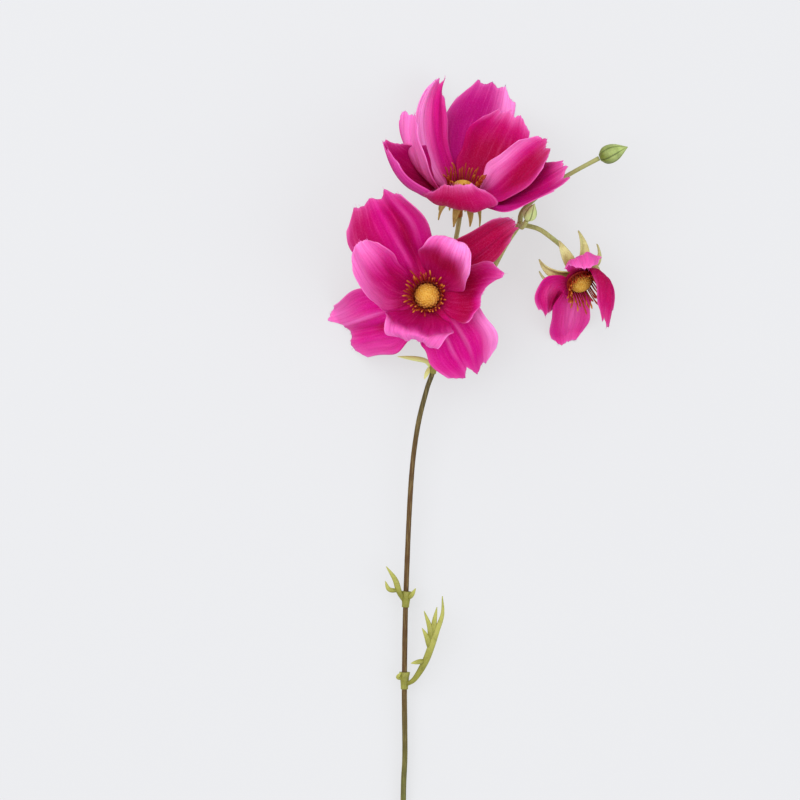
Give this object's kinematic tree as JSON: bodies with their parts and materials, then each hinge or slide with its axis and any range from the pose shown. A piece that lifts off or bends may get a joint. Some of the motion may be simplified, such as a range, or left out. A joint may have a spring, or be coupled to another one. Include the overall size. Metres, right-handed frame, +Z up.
{
  "type": "cosmos flower spray",
  "caption": "Cut artificial cosmos spray lying down: one wiry forked stem with magenta blossoms, buds and feathery leaves.",
  "frame": {"origin": "middle of the spray's footprint, on the surface that it lies on", "axes": "+Y along the lying stem, from its cut end to the blossoms; +Z up, away from the surface; +X to the side of the small nodding blossom and the buds"},
  "size_m": [0.1212, 0.3868, 0.0584],
  "materials": {
    "petal": "satin polyester cloth, finely woven, with pressed veins",
    "disc": "moulded grains, dusted golden yellow",
    "stamen": "moulded bristles, maroon with golden tips",
    "calyx": "moulded, olive green tinted with brown",
    "leaf": "moulded, yellow green, satin",
    "bud": "moulded, light green with olive base, satin",
    "stem": "plastic over wire, olive green to brown, satin"
  },
  "bodies": {
    "root": {"stem": "stem", "fork_leaf": "leaf", "upper_leaf": "leaf", "lower_leaf": "leaf", "long_bud": "bud", "round_bud": "bud", "top_bloom_petals": "petal", "top_bloom_disc": "disc", "top_bloom_stamens": "stamen", "top_bloom_calyx": "calyx", "face_bloom_petals": "petal", "face_bloom_disc": "disc", "face_bloom_stamens": "stamen", "face_bloom_calyx": "calyx", "small_bloom_petals": "petal", "small_bloom_disc": "disc", "small_bloom_stamens": "stamen", "small_bloom_calyx": "calyx"}
  },
  "joints": []
}
